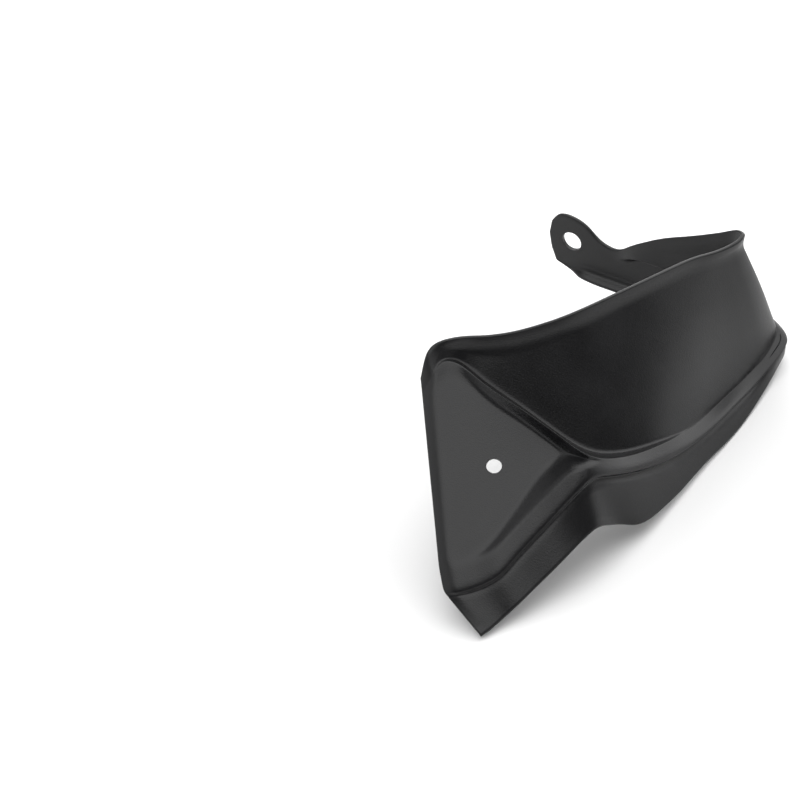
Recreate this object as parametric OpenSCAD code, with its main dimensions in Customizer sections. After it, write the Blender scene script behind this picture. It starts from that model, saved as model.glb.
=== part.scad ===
// Left hand guard for a motorcycle handlebar: one moulded shell with a bar-end arm
// X points forward, Y points outboard to the rider's left, Z points up
// The origin is the centre of the bar-end eye, on the face that meets the bar end

/* [Shell] */
// Forward reach from the bar end to the front of the ledge
reach = 130; // [110:1:150]
// Length from the bar end inboard to the tip of the skirt
span = 262; // [220:1:300]
// Full height of the guard
height = 101; // [85:1:120]
// Wall thickness of the shell
wall_t = 2.5; // [1.8:0.1:3]
// Outward bow of the wall, between the rim and the ledge
wall_bow = 1.5; // [0:0.1:3]

/* [Rim] */
// Height of the flared band under the top rim
lip_h = 6; // [3:0.5:9]
// Distance the rim flares outward
lip_out = 3; // [0:0.5:5]

/* [Ledge] */
// Height of the undercut step below the ledge
step_h = 4; // [2:0.5:6]
// Distance the step is set back under the ledge
step_in = 2.5; // [0:0.5:4]
// Rounding of the ledge and of the ridge that continues it
ledge_r = 5; // [2:0.5:8]

/* [Panel] */
// Drop of the wall behind the highest part of the panel's crest
crest_drop = 24; // [10:1:32]
// Width of the slope between the crest and the panel's floor
crest_run = 8; // [5:0.5:12]
// Run of the ridge's slope into the panel, for each millimetre of depth
ridge_run = 3; // [1.5:0.1:4]
// Diameter of the screw hole in the panel
screw_d = 8; // [4:0.5:12]

/* [Bar-end arm] */
// Diameter of the bar-end bolt hole
eye_d = 12; // [6:0.5:16]
// Width of the inward flange along the lower edge of the arm
flange_w = 9; // [4:0.5:12]

/* [Quality] */
// Width of one column of facets along the guard
column_w = 5; // [3:0.5:8]

/* [Hidden] */

// Stations from the panel's inner edge, round the outer corner and back to the eye
// each has four points on the outer face: rim, crest or ledge root, ridge or ledge edge, lower edge
STATIONS = [
    [[14, -178, 27], [17, -183, 23], [59, -254, -40], [84, -262, -57]],
    [[12, -167, 35], [22, -175, 31], [67, -254, -39], [87, -257, -56]],
    [[15, -160, 38], [23, -169, 34], [75, -246, -39], [90, -250, -54]],
    [[27, -153, 39], [29, -165, 33], [83, -238, -36], [94, -242, -51]],
    [[41, -147, 38.5], [50, -169, 24], [89, -224, -30], [100, -228, -46]],
    [[54, -139, 38.5], [71, -171, 15], [97, -208, -22], [108, -213, -39]],
    [[65.5, -131.5, 40.5], [90, -174, 7], [104, -196, -15], [114, -201, -34]],
    [[76, -123.5, 42], [103, -176, 1], [110, -186, -10], [118, -192, -32]],
    [[83, -105.5, 40], [109.5, -170.5, -6.5], [114.5, -177.5, -12.5], [119, -178, -41]],
    [[91.5, -84, 37.5], [113.5, -152, -18.5], [119, -159.5, -22], [124.5, -165, -49.5]],
    [[98.5, -63, 34.5], [118, -124, -30], [123.5, -132, -34.5], [127, -136.5, -55]],
    [[105, -42.5, 31], [119, -94, -40], [125.5, -101, -43.5], [128, -100, -57]],
    [[110, -32, 28], [119, -60.5, -46], [126.5, -67.5, -47.5], [129.5, -65.5, -59.5]],
    [[114, -22, 26], [120, -26, -49], [128, -31, -50], [129, -30, -57]],
    [[117, -14, 25.5], [122, -10, -47], [130, -11, -48], [128, -11, -55]],
    [[116.5, -7, 26], [121.5, 4, -42], [128.5, 3.5, -46], [125.5, 3, -54]],
    [[110, -2.5, 25], [112, 8, -35], [114, 13, -41], [113, 12, -51]],
    [[98, -2, 21], [98, 4, -25], [98, 10, -30], [98, 9, -46]],
    [[80, -2, 16], [80, -1, -14], [80, 3, -17], [80, 3, -39]],
    [[60, -2, 11], [60, -3, -5], [60, 0, -7], [60, 0, -32]],
    [[42, -2, 4], [42, -3, -2], [42, 0, -4], [42, 0, -27.5]],
    [[28, 0, -2.5], [28, 0, -7], [28, 0, -12], [28, 0, -24.5]],
    [[18.5, 0, 2], [18.5, 0, -4], [18, 0, -11], [18, 0, -22.5]],
    [[10, 0, 12.5], [9, 0, 3], [8, 0, -7], [7, 0, -20]],
    [[-5, 0, 17], [-6, 0, 6], [-6, 0, -6], [-4, 0, -19.5]],
    [[-11.5, 0, 11.5], [-14.5, 0, 4], [-15, 0, -6], [-13.5, 0, -14]],
];
// Shares at the stations: flared rim, bowed wall, dropped wall, recessed panel, undercut step, arm flange
LIP     = [0, 0, 0, 0.5, 1, 1, 1, 1, 1, 1, 1, 1, 1, 1, 1, 1, 1, 1, 1, 0.7, 0.3, 0, 0, 0, 0, 0];
BOW     = [0, 0, 0, 0, 0, 0, 0, 0.1, 0.3, 0.5, 0.7, 0.9, 1, 1, 1, 0.8, 0.4, 0.1, 0, 0, 0, 0, 0, 0, 0, 0];
DROP    = [0, 0, 0.05, 0.2, 0.5, 0.8, 1, 1.15, 1.05, 0.6, 0.2, 0, 0, 0, 0, 0, 0, 0, 0, 0, 0, 0, 0, 0, 0, 0];
RECESS  = [0, 1, 1, 1, 1, 1, 1, 0.5, 0, 0, 0, 0, 0, 0, 0, 0, 0, 0, 0, 0, 0, 0, 0, 0, 0, 0];
STEP    = [0, 1, 1, 1, 1, 1, 1, 1, 1, 1, 1, 1, 1, 1, 1, 1, 0.8, 0.5, 0, 0, 0, 0, 0, 0, 0, 0];
FLANGE  = [0, 0, 0, 0, 0, 0, 0, 0, 0, 0, 0, 0, 0, 0, 0, 0, 0, 0.3, 0.7, 1, 1, 1, 1, 0.9, 0.1, 0];

// The panel's flat floor: a point on it, and the direction it faces
floor_at = [63.5, -195.5, -4];
floor_n = unit([0.42, -0.45, 0.78]);
// The direction in which the mould opens, away from the outer face
draw = unit([-0.54, 0.63, -0.56]);
// The bay in which the panel runs out into the ledge
PANEL_END = 7;
// The eye keeps its size this far out, and the set reach, span and height grow on it from there
EYE_AREA = 30;
EYE_BLEND = 40;
// Height of the wall's foot over the crest, narrowest ridge slope, and bevel at the free edge
FOOT_RISE = 1.2;
SLOPE_MIN = 4;
HEM_BEVEL = 1.5;
// Largest parts of a section that its lip, its panel slopes and a rounding may take
LIP_PART = 0.35;
SLOPE_PART = 0.96;
ROUND_PART = 0.45;
// Longest corner of the inner face, in wall thicknesses
MITRE = 1.4;

function unit(v) = v / norm(v);
function mix(a, b, t) = a + (b - a) * t;
function clamp(v, lo, hi) = max(lo, min(hi, v));

// A station point at the guard's set reach, span, height and wall
function place(p) =
    let (share = clamp((norm([p.x, p.y]) - EYE_AREA) / EYE_BLEND, 0, 1))
    [
        p.x * mix(1, reach / 130, share),
        p.y * mix(1, span / 262, share) + wall_t,
        p.z * mix(1, height / 101, share),
    ];
placed = [for (s = STATIONS) [for (p = s) place(p)]];
last = len(placed) - 1;

// Spacing of the stations, as the mean distance between their points
function gap(k) = (
    norm(placed[k + 1][0] - placed[k][0]) + norm(placed[k + 1][1] - placed[k][1])
    + norm(placed[k + 1][2] - placed[k][2]) + norm(placed[k + 1][3] - placed[k][3])) / 4;
gaps = [for (k = [0:last - 1]) gap(k)];

// Tangent of a guide at a station, from its neighbours; the first bay is straight
function slope(g, k) =
    k <= 1 ? (placed[2][g] - placed[1][g]) / gaps[1]
    : k == last ? (placed[k][g] - placed[k - 1][g]) / gaps[k - 1]
    : ((placed[k + 1][g] - placed[k][g]) * gaps[k - 1] / gaps[k]
        + (placed[k][g] - placed[k - 1][g]) * gaps[k] / gaps[k - 1]) / (gaps[k - 1] + gaps[k]);

// Guide g between stations k and k + 1
function guide(g, k, t) =
    k == 0 ? mix(placed[0][g], placed[1][g], t)
    : let (a = 1 + 2 * t, b = 1 - t)
    a * b * b * placed[k][g] + t * b * b * gaps[k] * slope(g, k)
    + t * t * (3 - 2 * t) * placed[k + 1][g] - t * t * b * gaps[k] * slope(g, k + 1);
function share(list, k, t) = mix(list[k], list[k + 1], t);

// Where the columns of facets stand, as a station and the part of the way to the next
column_at = concat(
    [for (k = [0:last - 1])
        let (n = max(2, round(gaps[k] / column_w)))
        for (i = [0:n - 1]) [k, i / n]],
    [[last - 1, 1]]);
columns = len(column_at);

function drop_on_floor(p, share) = p - floor_n * ((p - place(floor_at)) * floor_n) * share;
// Key points of one section, from the rim down to the free edge
function keys(c) =
    let (
        k = column_at[c][0],
        t = column_at[c][1],
        rim = guide(0, k, t),
        root = guide(1, k, t),
        ledge = guide(2, k, t),
        edge = guide(3, k, t),
        along = unit(guide(2, k, min(1, t + 0.1)) - guide(2, k, max(0, t - 0.1))),
        wall_n = unit(cross(root - rim, along)),
        skirt_n = unit(cross(edge - ledge, along)),
        // wall below the flared rim, its bow, and its foot behind the crest
        foot = root + draw * crest_drop * share(DROP, k, t) + unit(rim - root) * FOOT_RISE,
        lip_len = min(lip_h, LIP_PART * norm(root - rim)),
        lip = rim + unit(foot - rim) * lip_len - wall_n * lip_out * share(LIP, k, t),
        belly = mix(lip, foot, 0.5) + wall_n * wall_bow * share(BOW, k, t),
        // panel recess, or the flat top of the ledge
        across = unit(ledge - root),
        wide = norm(ledge - root),
        flat = share(RECESS, k, t),
        panel = k < PANEL_END ? 1 : k == PANEL_END ? 1 - t : 0,
        ledge_h = max(0, (ledge - place(floor_at)) * floor_n),
        want_a = mix(wide / 3, crest_run, panel),
        want_b = mix(wide / 3, max(SLOPE_MIN, ridge_run * ledge_h), panel),
        squeeze = min(1, SLOPE_PART * wide / (want_a + want_b)),
        fold_a = drop_on_floor(root + across * want_a * squeeze, flat * squeeze),
        fold_b = drop_on_floor(ledge - across * want_b * squeeze, flat * squeeze),
        // undercut step, skirt and the arm's inward flange
        down = unit(edge - ledge),
        step = ledge + down * step_h - skirt_n * step_in * share(STEP, k, t),
        turn = share(FLANGE, k, t),
        hem_top = edge - unit(edge - step) * HEM_BEVEL * (1 - turn),
        hem = mix(edge, edge + [0, -flange_w - wall_t, 2], turn)
    )
    [rim, lip, belly, foot, root, fold_a, fold_b, ledge, step, hem_top, hem];
KEY_N = 11;
own_keys = [for (c = [0:columns - 1]) keys(c)];
// Each line of key points is evened along the guard with its neighbours
function evened(c, j) =
    c == 0 || c == columns - 1 ? own_keys[c][j]
    : (own_keys[c - 1][j] + 2 * own_keys[c][j] + own_keys[c + 1][j]) / 4;
section_keys = [for (c = [0:columns - 1]) [for (j = [0:KEY_N - 1]) evened(c, j)]];

// Outward direction of the face between two key points of a column
function face_n(c, j) =
    let (
        a = section_keys[max(0, c - 1)],
        b = section_keys[min(columns - 1, c + 1)],
        s = section_keys[c]
    )
    unit(cross(s[j + 1] - s[j], b[j] + b[j + 1] - a[j] - a[j + 1]));
// Offset from the outer face to the inner face at a key point
function inset(c, j) =
    let (
        before = face_n(c, max(0, j - 1)),
        after = face_n(c, min(KEY_N - 2, j)),
        mean = unit(before + after)
    )
    -mean * wall_t * min(MITRE, 1 / (mean * after));

// Rounding at each key point, and the number of points that draw it
ROUND = [0, 4, 40, 3, 1.5, 2, 4, ledge_r, 1.5, 3, 0];
ROUND_N = [1, 3, 3, 3, 3, 3, 3, 4, 3, 3, 1];
function corner(s, j, i) =
    ROUND_N[j] == 1 ? s[j]
    : let (
        back = min(ROUND[j], ROUND_PART * norm(s[j - 1] - s[j])),
        ahead = min(ROUND[j], ROUND_PART * norm(s[j + 1] - s[j])),
        a = s[j] + unit(s[j - 1] - s[j]) * back,
        b = s[j] + unit(s[j + 1] - s[j]) * ahead,
        t = i / (ROUND_N[j] - 1)
    )
    mix(mix(a, s[j], t), mix(s[j], b, t), t);

// One closed section: down the outer face, round the hem, up the inner face and over the rim
EDGE_ROUND = 0.7;
function outer_row(c) =
    [for (j = [0:KEY_N - 1]) for (i = [0:ROUND_N[j] - 1]) corner(section_keys[c], j, i)];
function inset_row(c) =
    [for (j = [0:KEY_N - 1]) let (d = inset(c, j)) for (i = [0:ROUND_N[j] - 1]) d];
function ring(c) =
    let (
        a = outer_row(c),
        d = inset_row(c),
        n = len(a) - 1,
        rim_out = unit(a[0] - a[1]) * EDGE_ROUND,
        hem_out = unit(a[n] - a[n - 1]) * EDGE_ROUND
    )
    concat(a, [a[n] + d[n] / 2 + hem_out], [for (i = [n:-1:0]) a[i] + d[i]], [a[0] + d[0] / 2 + rim_out]);

module shell() {
    rings = [for (c = [0:columns - 1]) ring(c)];
    n = len(rings[0]);
    half = (n - 2) / 2;
    points = [for (r = rings) each r];
    sides = [
        for (c = [0:columns - 2]) for (i = [0:n - 1])
            let (a = c * n + i, b = c * n + (i + 1) % n)
            each [[a, a + n, b + n], [a, b + n, b]]
    ];
    // each end is closed by a strip between the outer and the inner face
    function strip(o, i) = [o + i, o + i + 1, o + n - 3 - i, o + n - 2 - i];
    function cap(o, flip) = [
        for (i = [0:half - 2])
            let (q = strip(o, i))
            each flip ? [[q[0], q[2], q[1]], [q[0], q[3], q[2]]] : [[q[0], q[1], q[2]], [q[0], q[2], q[3]]],
        flip ? [o + half - 1, o + half + 1, o + half] : [o + half - 1, o + half, o + half + 1],
        flip ? [o, o + n - 1, o + n - 2] : [o, o + n - 2, o + n - 1],
    ];
    polyhedron(points, concat(sides, cap(0, false), cap((columns - 1) * n, true)), convexity = 12);
}

// Length of the bores' cylinders, well past both faces
bore_cut = 12 * wall_t;

// Bolt hole through the eye, along the handlebar
module eye_bore() {
    rotate([90, 0, 0])
        cylinder(d = eye_d, h = bore_cut, center = true, $fn = 64);
}

// Screw hole square through the panel's floor
module screw_bore() {
    at = place(floor_at);
    translate(at)
        rotate([0, acos(floor_n.z), atan2(floor_n.y, floor_n.x)])
            cylinder(d = screw_d, h = bore_cut, center = true, $fn = 48);
}

module guard_shell() {
    color([0.09, 0.09, 0.1])
        difference() {
            shell();
            eye_bore();
            screw_bore();
        }
}

guard_shell();
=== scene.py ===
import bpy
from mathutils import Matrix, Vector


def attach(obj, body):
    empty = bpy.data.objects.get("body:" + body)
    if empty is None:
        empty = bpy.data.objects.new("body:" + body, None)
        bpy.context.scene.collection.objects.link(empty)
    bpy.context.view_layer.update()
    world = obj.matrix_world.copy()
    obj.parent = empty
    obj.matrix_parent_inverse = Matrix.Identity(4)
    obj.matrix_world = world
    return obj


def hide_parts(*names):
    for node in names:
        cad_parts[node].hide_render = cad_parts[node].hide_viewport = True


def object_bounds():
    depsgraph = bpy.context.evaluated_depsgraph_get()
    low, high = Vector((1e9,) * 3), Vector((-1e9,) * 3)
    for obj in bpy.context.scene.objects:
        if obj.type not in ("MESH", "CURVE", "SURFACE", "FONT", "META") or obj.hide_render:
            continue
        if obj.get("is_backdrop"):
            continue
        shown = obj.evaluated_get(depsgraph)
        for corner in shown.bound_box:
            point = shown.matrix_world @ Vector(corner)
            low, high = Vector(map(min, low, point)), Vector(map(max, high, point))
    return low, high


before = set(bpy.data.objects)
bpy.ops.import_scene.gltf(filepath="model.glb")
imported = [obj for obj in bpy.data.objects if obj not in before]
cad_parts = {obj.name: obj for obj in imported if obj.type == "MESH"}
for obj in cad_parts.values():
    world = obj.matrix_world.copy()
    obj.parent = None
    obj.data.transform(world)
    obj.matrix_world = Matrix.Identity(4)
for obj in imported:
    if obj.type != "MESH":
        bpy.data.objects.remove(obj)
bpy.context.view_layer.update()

import math

import bmesh
import bpy
import numpy as np
from mathutils import Matrix, Vector

MM = 0.001

# The shell's stations from the panel's inner edge, round the outer corner and back to the eye, in mm
# each has four points on the outer face: rim, crest or ledge root, ridge or ledge edge, lower edge
# they are those of part.scad, with small shifts of the rim, root and edge at some of them
STATIONS = [
    [[14, -178, 27], [17, -183, 23], [59, -254, -40], [84, -262, -57]],
    [[15.5, -171, 38.5], [22, -175, 31], [67, -254, -39], [87, -257, -56]],
    [[18.5, -164, 41.5], [23, -169, 34], [75, -246, -39], [90, -250, -54]],
    [[28.5, -155, 40.5], [29, -165, 33], [83, -238, -36], [95, -243, -50]],
    [[41, -147, 38.5], [50, -169, 24], [89, -224, -30], [101, -229.5, -45]],
    [[54, -139, 38.5], [71, -171, 15], [97, -208, -22], [109, -214.5, -38]],
    [[65.5, -131.5, 40.5], [90, -174, 7], [104, -196, -15], [114, -201, -34]],
    [[76, -123.5, 42], [103, -176, 1], [110, -186, -10], [118, -192, -32]],
    [[83, -105.5, 40], [109.5, -170.5, -6.5], [114.5, -177.5, -12.5], [119, -178, -41]],
    [[91.5, -84, 37.5], [113.5, -152, -18.5], [119, -159.5, -22], [124.5, -165, -49.5]],
    [[98.5, -63, 34.5], [118, -124, -30], [123.5, -132, -34.5], [127, -136.5, -55]],
    [[105, -42.5, 31], [119, -94, -40], [125.5, -101, -43.5], [128, -100, -57]],
    [[110, -32, 28], [119, -60.5, -46], [126.5, -67.5, -47.5], [129.5, -65.5, -59.5]],
    [[114, -22, 26], [121.5, -27.5, -47.5], [127.5, -30.5, -50.5], [129, -30, -57]],
    [[117, -14, 25.5], [123.5, -11.5, -45.5], [130, -11, -48], [128, -11, -55]],
    [[116.5, -7, 26], [121.5, 4, -42], [128.5, 3.5, -46], [125.5, 3, -54]],
    [[110, -2.5, 25], [112, 8, -35], [114, 13, -41], [113, 12, -51]],
    [[98, -2, 21], [98, 4, -25], [98, 10, -30], [98, 9, -46]],
    [[80, -2, 16], [80, -1, -14], [80, 3, -17], [80, 3, -39]],
    [[60, -2, 11], [60, -3, -5], [60, 0, -7], [60, 0, -32]],
    [[42, -2, 4], [42, -3, -2], [42, 0, -4], [42, 0, -27.5]],
    [[28, 0, -2.5], [28, 0, -7], [28, 0, -12], [28, 0, -24.5]],
    [[18.5, 0, 2], [18.5, 0, -4], [18, 0, -11], [18, 0, -22.5]],
    [[10, 0, 12.5], [9, 0, 3], [8, 0, -7], [7, 0, -20]],
    [[-5, 0, 17], [-6, 0, 6], [-6, 0, -6], [-4, 0, -19.5]],
    [[-11.5, 0, 11.5], [-14.5, 0, 4], [-15, 0, -6], [-13.5, 0, -14]],
]
# Shares at the stations: flared rim, bowed wall, dropped wall, recessed panel, undercut step, arm flange
LIP = [0, 0, 0, 0.5, 1, 1, 1, 1, 1, 1, 1, 1, 1, 1, 1, 1, 1, 0.8, 0.5, 0.2, 0, 0, 0, 0, 0, 0]
BOW = [0, 0, 0, 0, 0, 0, 0, 0.1, 0.3, 0.5, 0.7, 0.9, 1, 1, 1, 0.8, 0.4, 0.1, 0, 0, 0, 0, 0, 0, 0, 0]
DROP = [0, 0, 0.05, 0.2, 0.5, 0.8, 1, 1.15, 1.05, 0.6, 0.2, 0, 0, 0, 0, 0, 0, 0, 0, 0, 0, 0, 0, 0, 0, 0]
RECESS = [0, 1, 1, 1, 1, 1, 1, 0.7, 0, 0, 0, 0, 0, 0, 0, 0, 0, 0, 0, 0, 0, 0, 0, 0, 0, 0]
STEP = [0, 1, 1, 1, 1, 1, 1, 1, 1, 1, 1, 1, 1, 1, 1, 1, 0.8, 0.5, 0, 0, 0, 0, 0, 0, 0, 0]
FLANGE = [0, 0, 0, 0, 0, 0, 0, 0, 0, 0, 0, 0, 0, 0, 0, 0, 0, 0.3, 0.7, 1, 1, 1, 1, 0.9, 0.1, 0]
# The bay between stations in which the panel runs out into the ledge
PANEL_END = 7

# Wall: its thickness, the flared rim, the bow, and the foot behind the crest, in mm
WALL = 2.5
LIP_H = 6
LIP_OUT = 3
WALL_BOW = 1.5
CREST_DROP = 24
FOOT_RISE = 1.2
# Longest part of the wall that the rim's flare takes
LIP_PART = 0.35

# Panel: runs from the crest and from the ridge down to the floor, and the ridge's crown, in mm
CREST_RUN = 8
CREST_RUN_MIN = 3
RIDGE_RUN_MIN = 4
RIDGE_RUN_MAX = 12
CROWN_W = 11
CROWN_OUT = 2
# How far the ridge runs, and the crest's run shortens, for each mm of height above the floor
RIDGE_SLOPE = 2
CREST_SLOPE = 0.45
# Parts of the ledge's top past the panel: from the wall to the first fold, and the flat to the edge
FOLD_PART = 0.1
CROWN_PART = 0.7
# Longest part of the width that the runs and the crown take together
TOP_PART = 0.96

# Skirt: the step below the ledge, the flare under it and the hem, in mm
STEP_H = 4
STEP_TOP = 1.5
STEP_IN = 4
FLARE_H = 6.5
FLARE_IN = 1.4
HEM_H = 1.5
# A skirt less tall than this has a smaller step
SKIRT_TALL = 18
# The arm's flange: its width inward, its rise, and its lean along the mould's draw, in mm
FLANGE_W = 9
FLANGE_RISE = 2
FLANGE_LEAN = 7

# Holes: the bar-end eye and the panel's screw, the broken edge, and the drill's length past the wall
EYE_D = 12
SCREW_D = 8
HOLE_CHAMFER = 0.12
HOLE_PAST = 3

# Rounding in mm at each key point of the section, from the rim to the free edge
ROUND = {
    "rim": 0,
    "lip": 4,
    "belly": 40,
    "foot": 3,
    "root": 1,
    "crest fold": 3,
    "ridge fold": 4,
    "crown": 3,
    "ledge": 5,
    "step": 1,
    "flare": 2,
    "hem top": 3,
    "hem": 0,
}
# Longest part of the way to the next key point that a rounding takes; the ledge's has most of the crown
ROUND_PART = 0.45
LEDGE_BACK_PART = 0.75
CROWN_AHEAD_PART = 0.2
# Longest inset of the inner face at a fold, in walls
MITRE = 1.4

# Blend along the guard in mm, and a wider one for the wall from the rim to the foot, by station
BLEND = 3.0
FAIR_BLEND = 10.0
FAIR_KEYS = 4
FAIR_AT = (3, 6, 13, 15)
FAIR_SHARE = (0, 1, 1, 0)

# Fineness: a column's width in mm, and the points round a fold, a free edge, an end and a hole
COLUMN_W = 1.5
ROUND_STEPS = 7
EDGE_STEPS = 5
END_STEPS = 3
HOLE_STEPS = 96
# Part of a bay to each side over which the direction of the guides is taken
PROBE = 0.1
# How far the free edges and the two ends bulge in mm, and how far an end turns over, in half turns
EDGE_ROUND = 0.9
END_ROUND = 1.0
END_TURN = 0.42
# Angle between two faces from which their edge is shown sharp
SHARP_ANGLE = math.radians(35)

# Finish of the plastic: colours, roughness, and the scale and depth in metres of its grain and clouds
PLASTIC_DARK = (0.005, 0.005, 0.0055)
PLASTIC_LIGHT = (0.008, 0.008, 0.0087)
PLASTIC_ROUGH = 0.34
ROUGH_SPREAD = 0.03
PLASTIC_SHINE = 0.3
GRAIN_SCALE = 1400
GRAIN_DETAIL = 3
GRAIN_DEPTH = 0.00009
CLOUD_SCALE = 30
CLOUD_DETAIL = 4
CLOUD_LOW = 0.3
CLOUD_HIGH = 0.7

# Camera: where it stands in the guard's frame in metres, and how it is turned
CAMERA_AT = (0.6966, -0.9798, 0.7297)
CAMERA_AZIMUTH = math.radians(41)
CAMERA_ELEVATION = math.radians(34)
CAMERA_ROLL = math.radians(-14)
CAMERA_NEAR = 0.05
CAMERA_FAR = 20
FOCAL_PX = 2450
FRAME_PX = 800
SENSOR_MM = 36

# Soft lights of the studio: azimuth from +X toward +Y, elevation and half angle in degrees, brightness
SOFTBOXES = (
    (-60, 76, 26, 3.9),
    (88, 40, 42, 3.4),
    (0, 50, 14, 2.4),
    (46, 6, 22, 1.0),
    (-150, 25, 38, 1.5),
    (0, -90, 96, 1.05),
)
SOFT_EDGE = 4
ROOM_LIGHT = 0.05

# Floor: its size in metres, roughness, and its painted shade: the paper's colour is greyer near the guard,
# as if shaded there, and pales farther off
FLOOR_SIZE = 60.0
FLOOR_ROUGH = 0.9
FLOOR_CENTRE = (0.06, -0.12)
FLOOR_NEAR = 0.11
FLOOR_FAR = 0.2
FLOOR_WHITE_PAINTED_SHADE = 0.7
FLOOR_WHITE_FAR = 0.95


def unit(v):
    return v / np.maximum(np.linalg.norm(v, axis=-1, keepdims=True), 1e-9)


def mix(a, b, t):
    return a + (b - a) * t


def length(v):
    return np.linalg.norm(v, axis=-1, keepdims=True)


# The panel's flat floor, the direction it faces, and the way the mould opens
FLOOR_AT = np.array([63.5, -195.5 + WALL, -4])
FLOOR_N = unit(np.array([0.42, -0.45, 0.78]))
DRAW = unit(np.array([-0.54, 0.63, -0.56]))


def station_points():
    """The stations with the eye's inner face at y = 0."""
    points = np.array(STATIONS, float)
    points[..., 1] += WALL
    return points


def loft_columns(gaps):
    """Where the columns of faces stand: a bay between two stations, and the part of the way along it."""
    bays, parts = [], []
    for bay, gap in enumerate(gaps):
        count = max(2, round(gap / COLUMN_W))
        bays += [bay] * count
        parts += [i / count for i in range(count)]
    return np.array(bays + [len(gaps) - 1]), np.array(parts + [1.0])


def guides(points, gaps, bay, part):
    """The four guides at these columns, smooth through the stations; the first bay is straight."""
    steps = np.diff(points, axis=0) / gaps[:, None, None]
    before, after = gaps[:-1, None, None], gaps[1:, None, None]
    slopes = np.empty_like(points)
    slopes[1:-1] = (steps[1:] * before + steps[:-1] * after) / (before + after)
    slopes[0] = slopes[1] = steps[1]
    slopes[-1] = steps[-1]
    a, b = points[bay], points[bay + 1]
    gap = gaps[bay][:, None, None]
    t = part[:, None, None]
    rest = 1 - t
    leave = rest * rest * ((1 + 2 * t) * a + t * gap * slopes[bay])
    arrive = t * t * ((3 - 2 * t) * b - rest * gap * slopes[bay + 1])
    return np.where(bay[:, None, None] == 0, mix(a, b, t), leave + arrive)


def above_floor(p):
    """Height of points above the plane of the panel's floor."""
    return (p - FLOOR_AT) @ FLOOR_N[:, None]


def wall_keys(rim, root, along, share):
    """The flared rim, the bowed middle, and the foot behind the crest."""
    outward = unit(np.cross(root - rim, along))
    foot = root + DRAW * CREST_DROP * share(DROP) + unit(rim - root) * FOOT_RISE
    lip_h = np.minimum(LIP_H, LIP_PART * length(root - rim))
    lip = rim + unit(foot - rim) * lip_h - outward * LIP_OUT * share(LIP)
    belly = mix(lip, foot, 0.5) + outward * WALL_BOW * share(BOW)
    return [rim, lip, belly, foot]


def top_keys(root, ledge, panel, share):
    """The recessed panel between its crest and the ridge, or past it the flat top of the ledge."""
    across = unit(ledge - root)
    wide = length(ledge - root)
    crest_run = np.maximum(CREST_RUN_MIN, CREST_RUN - CREST_SLOPE * above_floor(root))
    crest_run = mix(FOLD_PART * wide, crest_run, panel)
    ridge_run = np.clip(RIDGE_SLOPE * above_floor(ledge), RIDGE_RUN_MIN, RIDGE_RUN_MAX)
    ridge_run = mix(FOLD_PART * wide, ridge_run, panel)
    crown_w = mix(CROWN_PART * wide, CROWN_W, panel)
    squeeze = np.minimum(1, TOP_PART * wide / (crest_run + ridge_run + crown_w))
    depth = share(RECESS) * squeeze

    def sunk(p):
        return p - FLOOR_N * above_floor(p) * depth

    crest_fold = root + across * crest_run * squeeze
    crown = ledge - across * crown_w * squeeze
    ridge_fold = crown - across * ridge_run * squeeze
    return [root, sunk(crest_fold), sunk(ridge_fold), crown]


def skirt_keys(ledge, edge, along, panel, share):
    """The ledge's edge, the undercut step, the skirt, and the arm's inward flange."""
    outward = unit(np.cross(edge - ledge, along))
    down = unit(edge - ledge)
    room = np.minimum(1, length(edge - ledge) / SKIRT_TALL)
    crown_out = CROWN_OUT * panel
    under = share(STEP)
    turn = share(FLANGE)
    ledge = ledge + down * crown_out
    step_h = mix(STEP_H, STEP_TOP, under) * room
    step = ledge + down * step_h - outward * (STEP_IN * room - crown_out) * under
    flare = ledge + down * (FLARE_H * room - crown_out) - outward * FLARE_IN * room * under
    hem_top = edge - unit(edge - flare) * HEM_H * (1 - turn)
    inward = np.array([0, -FLANGE_W - WALL, FLANGE_RISE])
    hem = mix(edge, edge + inward + DRAW * FLANGE_LEAN, turn)
    return [ledge, step, flare, hem_top, hem]


def section_keys(points, gaps, bay, part):
    """The key points of each section that ROUND names, from the rim down to the free edge."""
    def at(nudge):
        return guides(points, gaps, bay, np.clip(part + nudge, 0, 1))

    def share(values):
        values = np.array(values, float)
        return mix(values[bay], values[bay + 1], part)[:, None]

    rim, root, ledge, edge = np.moveaxis(at(0), 1, 0)
    along = unit(at(PROBE)[:, 2] - at(-PROBE)[:, 2])
    panel = np.clip(PANEL_END + 1 - bay - part, 0, 1)[:, None]
    wall = wall_keys(rim, root, along, share)
    top = top_keys(root, ledge, panel, share)
    skirt = skirt_keys(ledge, edge, along, panel, share)
    return np.stack(wall + top + skirt, axis=1)


def smooth_along(keys, blend):
    """Each line of key points, blended along the guard over so many millimetres."""
    sigma = blend / COLUMN_W
    reach = int(3 * sigma + 1)
    weights = np.exp(-0.5 * (np.arange(-reach, reach + 1) / sigma) ** 2)
    weights /= weights.sum()
    head = 2 * keys[:1] - keys[reach:0:-1]
    tail = 2 * keys[-1:] - keys[-2:-reach - 2:-1]
    padded = np.concatenate([head, keys, tail])
    return sum(w * padded[i:i + len(keys)] for i, w in enumerate(weights))


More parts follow.
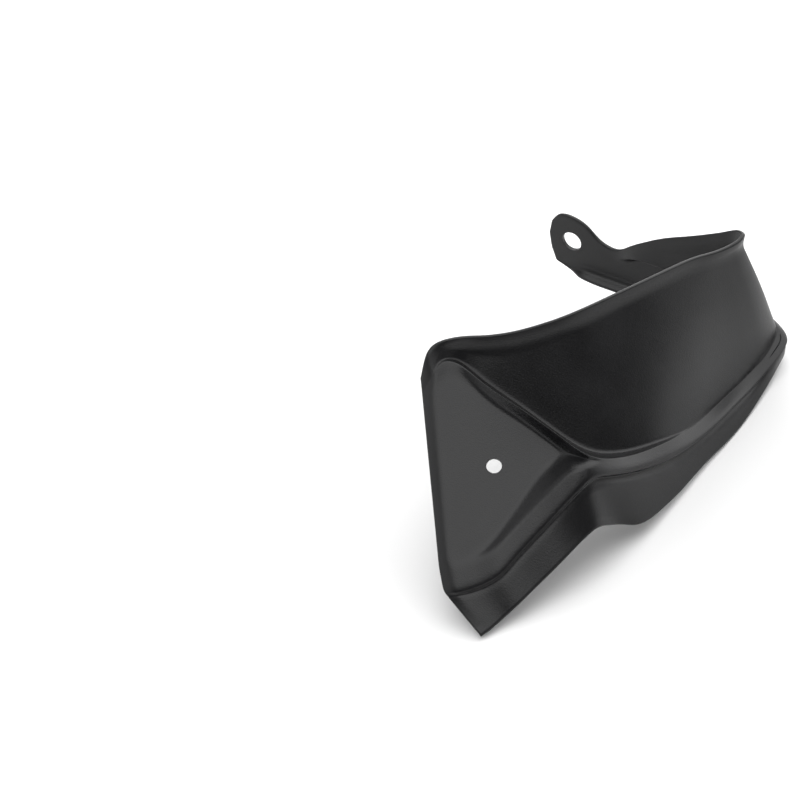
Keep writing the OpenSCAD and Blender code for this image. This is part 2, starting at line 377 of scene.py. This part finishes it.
def rounded_rows(keys):
    """The outer face's rows of points, with the key points rounded, and the key that each row is of."""
    rows, owners = [keys[:, 0]], [0]
    for j, name in list(enumerate(ROUND))[1:-1]:
        back, ahead = keys[:, j - 1] - keys[:, j], keys[:, j + 1] - keys[:, j]
        back_part = LEDGE_BACK_PART if name == "ledge" else ROUND_PART
        ahead_part = CROWN_AHEAD_PART if name == "crown" else ROUND_PART
        a = keys[:, j] + unit(back) * np.minimum(ROUND[name], back_part * length(back))
        b = keys[:, j] + unit(ahead) * np.minimum(ROUND[name], ahead_part * length(ahead))
        for t in np.linspace(0, 1, ROUND_STEPS):
            rows.append(mix(mix(a, keys[:, j], t), mix(keys[:, j], b, t), t))
            owners.append(j)
    rows.append(keys[:, -1])
    owners.append(keys.shape[1] - 1)
    return np.stack(rows, axis=1), np.array(owners)


def insets(keys):
    """Offset from the outer to the inner face at each key point."""
    run = np.gradient(keys, axis=0)
    face = unit(np.cross(np.diff(keys, axis=1), run[:, 1:] + run[:, :-1]))
    before = np.concatenate([face[:, :1], face], axis=1)
    after = np.concatenate([face, face[:, -1:]], axis=1)
    mean = unit(before + after)
    lean = (mean * after).sum(axis=-1, keepdims=True)
    return -mean * WALL / np.maximum(lean, 1 / MITRE)


def edge_arc(outer, inner, beside):
    """Points round a free edge, from just past the outer face to just before the inner one."""
    out = unit(outer - beside) * EDGE_ROUND
    turns = np.linspace(0, math.pi, EDGE_STEPS + 2)[1:-1]
    return np.stack([mix(outer, inner, (1 - math.cos(a)) / 2) + out * math.sin(a) for a in turns], axis=1)


def mirror(i, rows):
    """The ring's point on the other face from point i, in a ring of so many rows to a face."""
    return (2 * rows + EDGE_STEPS - 1 - i) % (2 * rows + 2 * EDGE_STEPS)


def end_rings(ring, beside, rows):
    """Rings that round one end of the loft, from its last ring outward."""
    other = ring[mirror(np.arange(len(ring)), rows)]
    middle, half = (ring + other) / 2, (ring - other) / 2
    out = unit(ring - beside) * END_ROUND
    turns = np.linspace(0, END_TURN * math.pi, END_STEPS)
    return [middle + half * math.cos(a) + out * (math.sin(a) - 1) for a in turns]


def loft_rings():
    """Every ring of the shell from the panel's inner edge to the arm's tip, and the rows of one face."""
    points = station_points()
    gaps = length(np.diff(points, axis=0))[..., 0].mean(axis=1)
    bay, part = loft_columns(gaps)
    keys = smooth_along(section_keys(points, gaps, bay, part), BLEND)
    fair = np.interp(bay + part, FAIR_AT, FAIR_SHARE)[:, None, None]
    wall = keys[:, :FAIR_KEYS]
    keys[:, :FAIR_KEYS] = mix(wall, smooth_along(wall, FAIR_BLEND), fair)
    outer, owners = rounded_rows(keys)
    inner = outer + insets(keys)[:, owners]
    hem = edge_arc(outer[:, -1], inner[:, -1], outer[:, -2])
    rim = edge_arc(inner[:, 0], outer[:, 0], inner[:, 1])
    rings = np.concatenate([outer, hem, inner[:, ::-1], rim], axis=1)
    rows = outer.shape[1]
    start = end_rings(rings[0], rings[1], rows)[::-1]
    end = end_rings(rings[-1], rings[-2], rows)
    return np.concatenate([start, rings[1:-1], end]), rows


def cap(ring_start, rows, flip):
    """Faces that close one end, as a strip between the two faces of the wall."""
    size = 2 * rows + 2 * EDGE_STEPS
    half_edge = (EDGE_STEPS + 1) // 2
    faces = []
    for i in range(-half_edge, rows - 1 + half_edge):
        corners = [i % size, (i + 1) % size, mirror(i + 1, rows), mirror(i, rows)]
        face = [ring_start + c for c in dict.fromkeys(corners)]
        faces.append(face[::-1] if flip else face)
    return faces


def loft_mesh():
    """The shell before its holes are cut."""
    rings, rows = loft_rings()
    columns, size = rings.shape[:2]
    faces = []
    for c in range(columns - 1):
        for i in range(size):
            a, b = c * size + i, c * size + (i + 1) % size
            faces.append((a, a + size, b + size, b))
    faces += cap(0, rows, False) + cap((columns - 1) * size, rows, True)
    mesh = bpy.data.meshes.new("guard_skin")
    mesh.from_pydata((rings.reshape(-1, 3) * MM).tolist(), [], faces)
    mesh.validate()
    return mesh


def lathe(name, profile, at, axis):
    """A closed solid turned about an axis, from (radius, height) pairs in mm."""
    bm = bmesh.new()
    turn = Vector(axis).to_track_quat("Z", "Y").to_matrix().to_4x4()
    place = Matrix.Translation(Vector(at) * MM) @ turn
    rings = []
    for radius, height in profile:
        angles = [2 * math.pi * i / HOLE_STEPS for i in range(HOLE_STEPS)]
        ring = [Vector((radius * math.cos(a), radius * math.sin(a), height)) * MM for a in angles]
        rings.append([bm.verts.new(place @ p) for p in ring])
    for low, high in zip(rings, rings[1:]):
        for i in range(HOLE_STEPS):
            j = (i + 1) % HOLE_STEPS
            bm.faces.new((low[i], low[j], high[j], high[i]))
    bm.faces.new(rings[0][::-1])
    bm.faces.new(rings[-1])
    mesh = bpy.data.meshes.new(name)
    bm.to_mesh(mesh)
    bm.free()
    return bpy.data.objects.new(name, mesh)


def hole_cutter(name, diameter, outer_at, axis):
    """A drill whose mouth breaks the hole's edges by a small chamfer on both faces."""
    r = diameter / 2
    mouth = r + HOLE_CHAMFER + HOLE_PAST
    profile = [
        (mouth, -WALL - HOLE_PAST),
        (r, -WALL + HOLE_CHAMFER),
        (r, -HOLE_CHAMFER),
        (mouth, HOLE_PAST),
    ]
    return lathe(name, profile, outer_at, axis)


def apply_all(piece):
    """Applies the piece's modifiers to its mesh."""
    graph = bpy.context.evaluated_depsgraph_get()
    mesh = bpy.data.meshes.new_from_object(piece.evaluated_get(graph))
    piece.modifiers.clear()
    piece.data = mesh


def make_shell():
    """The visible shell, which stands for the solid of the CAD."""
    skin = bpy.data.objects.new("guard_skin", loft_mesh())
    bpy.context.collection.objects.link(skin)
    cutters = [
        hole_cutter("eye_cutter", EYE_D, (0, WALL, 0), (0, 1, 0)),
        hole_cutter("screw_cutter", SCREW_D, FLOOR_AT, FLOOR_N),
    ]
    for cutter in cutters:
        bpy.context.collection.objects.link(cutter)
        cut = skin.modifiers.new(cutter.name, "BOOLEAN")
        cut.operation = "DIFFERENCE"
        cut.solver = "EXACT"
        cut.object = cutter
    apply_all(skin)
    for cutter in cutters:
        bpy.data.objects.remove(cutter)
    skin.data.shade_smooth()
    skin.data.set_sharp_from_angle(angle=SHARP_ANGLE)
    skin.data.materials.clear()
    skin.data.materials.append(black_plastic())
    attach(skin, "root")
    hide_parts("guard_shell")


def node(tree, kind, **inputs):
    """A shader node with its inputs set; an input's name has underscores for its spaces."""
    made = tree.nodes.new(kind)
    for name, value in inputs.items():
        made.inputs[name.replace("_", " ")].default_value = value
    return made


def black_plastic():
    """Black moulded plastic with a fine grain."""
    material = bpy.data.materials.new("shell_plastic")
    material.use_nodes = True
    tree = material.node_tree
    links = tree.links
    shader = tree.nodes["Principled BSDF"]
    place = tree.nodes.new("ShaderNodeTexCoord")

    def noise(scale, detail):
        made = node(tree, "ShaderNodeTexNoise", Scale=scale, Detail=detail)
        links.new(place.outputs["Object"], made.inputs["Vector"])
        return made.outputs["Fac"]

    def spread(source, to_low, to_high):
        made = node(tree, "ShaderNodeMapRange", From_Min=CLOUD_LOW, From_Max=CLOUD_HIGH)
        made.inputs["To Min"].default_value = to_low
        made.inputs["To Max"].default_value = to_high
        links.new(source, made.inputs["Value"])
        return made.outputs["Result"]

    grain = noise(GRAIN_SCALE, GRAIN_DETAIL)
    cloud = noise(CLOUD_SCALE, CLOUD_DETAIL)
    ramp = tree.nodes.new("ShaderNodeMix")
    ramp.data_type = "RGBA"
    ramp.inputs["A"].default_value = (*PLASTIC_DARK, 1)
    ramp.inputs["B"].default_value = (*PLASTIC_LIGHT, 1)
    links.new(spread(cloud, 0, 1), ramp.inputs["Factor"])
    links.new(ramp.outputs["Result"], shader.inputs["Base Color"])
    shader.inputs["Specular IOR Level"].default_value = PLASTIC_SHINE
    rough = spread(cloud, PLASTIC_ROUGH - ROUGH_SPREAD, PLASTIC_ROUGH + ROUGH_SPREAD)
    links.new(rough, shader.inputs["Roughness"])
    bump = node(tree, "ShaderNodeBump", Strength=1.0, Distance=GRAIN_DEPTH)
    links.new(grain, bump.inputs["Height"])
    links.new(bump.outputs["Normal"], shader.inputs["Normal"])
    return material


def make_camera():
    """The photograph's camera."""
    a, e, r = CAMERA_AZIMUTH, CAMERA_ELEVATION, CAMERA_ROLL
    back = Vector((math.sin(a) * math.cos(e), -math.cos(a) * math.cos(e), math.sin(e)))
    level_right = Vector((0, 0, 1)).cross(back).normalized()
    level_up = back.cross(level_right)
    right = level_right * math.cos(r) + level_up * math.sin(r)
    up = back.cross(right)
    data = bpy.data.cameras.new("camera")
    data.sensor_width = SENSOR_MM
    data.lens = SENSOR_MM * FOCAL_PX / FRAME_PX
    data.clip_start = CAMERA_NEAR
    data.clip_end = CAMERA_FAR
    camera = bpy.data.objects.new("camera", data)
    bpy.context.collection.objects.link(camera)
    turn = Matrix((right, up, back)).transposed().to_4x4()
    camera.matrix_world = Matrix.Translation(CAMERA_AT) @ turn
    bpy.context.scene.camera = camera


def make_world():
    """A dim studio with large soft lights round the guard."""
    world = bpy.data.worlds.new("studio")
    bpy.context.scene.world = world
    world.use_nodes = True
    tree = world.node_tree
    tree.nodes.clear()
    out = tree.nodes.new("ShaderNodeOutputWorld")
    light = tree.nodes.new("ShaderNodeBackground")
    place = tree.nodes.new("ShaderNodeTexCoord")
    level = node(tree, "ShaderNodeValue").outputs[0]
    level.default_value = ROOM_LIGHT
    for azimuth, elevation, half_angle, brightness in SOFTBOXES:
        a, e = math.radians(azimuth), math.radians(elevation)
        toward = tree.nodes.new("ShaderNodeVectorMath")
        toward.operation = "DOT_PRODUCT"
        toward.inputs[1].default_value = (math.cos(a) * math.cos(e), math.sin(a) * math.cos(e), math.sin(e))
        tree.links.new(place.outputs["Generated"], toward.inputs[0])
        glow = tree.nodes.new("ShaderNodeMapRange")
        glow.interpolation_type = "SMOOTHSTEP"
        glow.inputs["From Min"].default_value = math.cos(math.radians(half_angle + SOFT_EDGE))
        glow.inputs["From Max"].default_value = math.cos(math.radians(half_angle - SOFT_EDGE))
        glow.inputs["To Max"].default_value = brightness
        tree.links.new(toward.outputs["Value"], glow.inputs["Value"])
        most = tree.nodes.new("ShaderNodeMath")
        most.operation = "MAXIMUM"
        tree.links.new(level, most.inputs[0])
        tree.links.new(glow.outputs["Result"], most.inputs[1])
        level = most.outputs[0]
    tree.links.new(level, light.inputs["Strength"])
    tree.links.new(light.outputs[0], out.inputs["Surface"])


def floor_paper_painted_shade(z):
    """Pale paper with painted shade: its colour is a little greyer near the guard than farther off."""
    material = bpy.data.materials.new("floor_paper_painted_shade")
    material.use_nodes = True
    tree = material.node_tree
    shader = tree.nodes["Principled BSDF"]
    shader.inputs["Roughness"].default_value = FLOOR_ROUGH
    place = tree.nodes.new("ShaderNodeTexCoord")
    away = tree.nodes.new("ShaderNodeVectorMath")
    away.operation = "DISTANCE"
    away.inputs[1].default_value = (*FLOOR_CENTRE, z)
    tree.links.new(place.outputs["Object"], away.inputs[0])
    # painted shade: the paper's colour darkens toward the guard, standing in for shade under and beside it
    far = node(tree, "ShaderNodeMapRange", From_Min=FLOOR_NEAR, From_Max=FLOOR_FAR)
    far.interpolation_type = "SMOOTHSTEP"
    far.inputs["To Min"].default_value = FLOOR_WHITE_PAINTED_SHADE
    far.inputs["To Max"].default_value = FLOOR_WHITE_FAR
    tree.links.new(away.outputs["Value"], far.inputs["Value"])
    grey = tree.nodes.new("ShaderNodeCombineColor")
    for channel in ("Red", "Green", "Blue"):
        tree.links.new(far.outputs["Result"], grey.inputs[channel])
    tree.links.new(grey.outputs["Color"], shader.inputs["Base Color"])
    return material


def make_floor(z):
    """The paper under the guard, which keeps its shadow."""
    s = FLOOR_SIZE / 2
    mesh = bpy.data.meshes.new("floor")
    mesh.from_pydata([(-s, -s, z), (s, -s, z), (s, s, z), (-s, s, z)], [], [(0, 1, 2, 3)])
    floor = bpy.data.objects.new("floor", mesh)
    bpy.context.collection.objects.link(floor)
    floor.data.materials.append(floor_paper_painted_shade(z))
    floor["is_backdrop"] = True


make_camera()
make_world()
make_shell()
make_floor(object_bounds()[0][2])

bpy.context.scene.view_settings.view_transform = "Standard"
